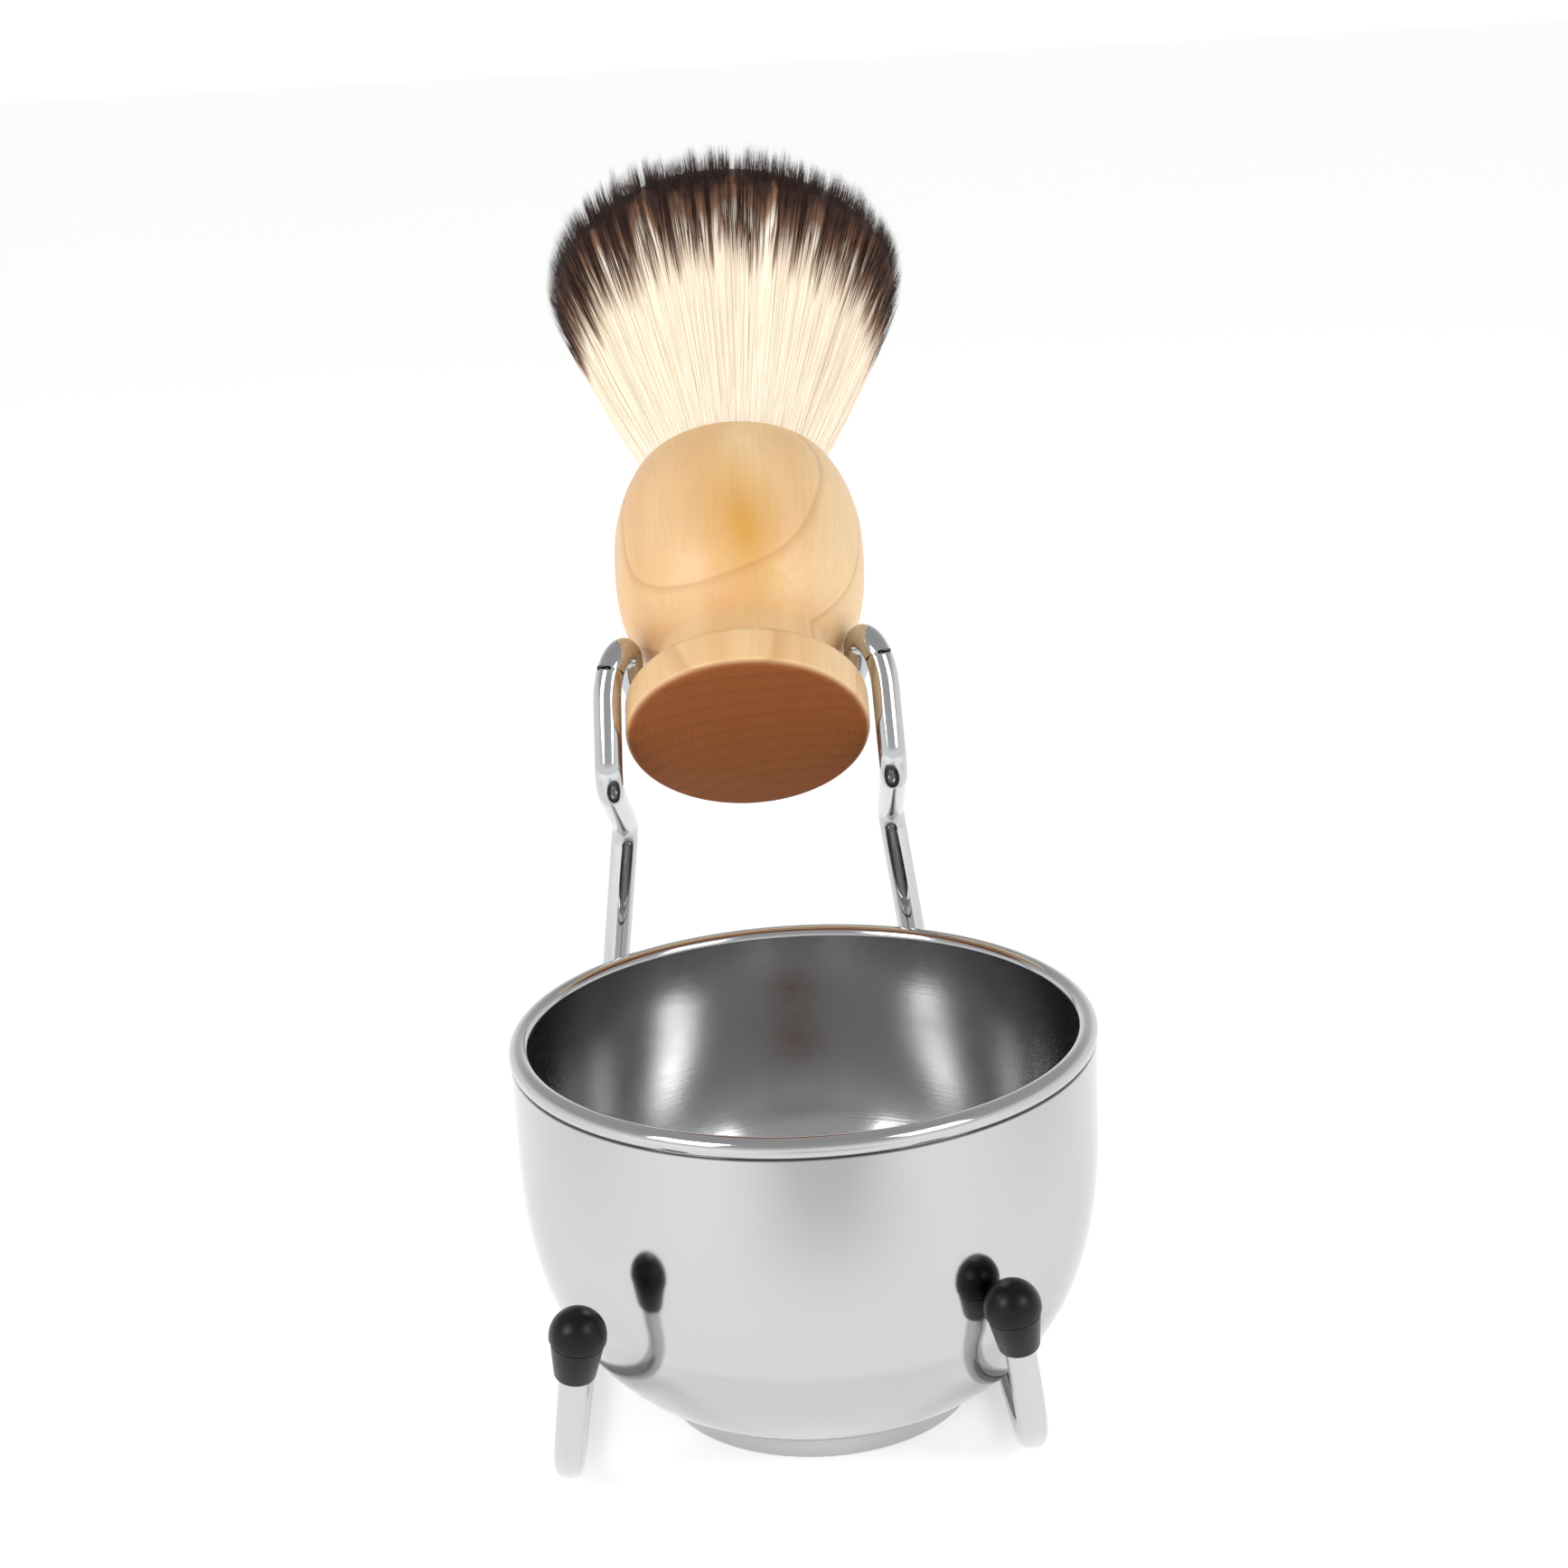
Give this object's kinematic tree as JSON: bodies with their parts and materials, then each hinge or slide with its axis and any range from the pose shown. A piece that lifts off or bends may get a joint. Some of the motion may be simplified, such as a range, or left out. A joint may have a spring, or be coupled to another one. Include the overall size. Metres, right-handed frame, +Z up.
{
  "type": "shaving mug set",
  "caption": "Double-walled steel shaving bowl on a bent wire stand whose fork holds a wooden brush with a bristle knot.",
  "frame": {"origin": "centre of the bowl's flat foot, on the surface the set stands on", "axes": "+Z up; the stand's prongs are in front at -Y; the brush lies in the fork at the back with its bristles back and up"},
  "size_m": [0.08, 0.1577, 0.1659],
  "materials": {
    "bowl_outside": "polished",
    "bowl_inside": "circumferentially brushed, darker",
    "wire": "polished",
    "cap_rubber": "satin black",
    "handle_wood": "satin lacquer",
    "plug_resin": "cast",
    "bristle": "cream filament with dark brown tips"
  },
  "bodies": {
    "stand": {"stand_wire": "wire", "rubber_cap_left": "cap_rubber", "rubber_cap_right": "cap_rubber"},
    "bowl": {"bowl_outer_shell": "bowl_outside", "bowl_inner_shell": "bowl_inside"},
    "brush": {"brush_handle": "handle_wood", "knot_plug": "plug_resin", "bristle_knot": "bristle"}
  },
  "joints": [
    {"name": "bowl_lift", "type": "slide", "parent": "stand", "child": "bowl", "axis": [-0.2988, -0.4268, 0.8536], "range_m": [0, 0.11]},
    {"name": "brush_lift", "type": "slide", "parent": "stand", "child": "brush", "axis": [0, -0.6225, 0.7826], "range_m": [0, 0.14]}
  ]
}
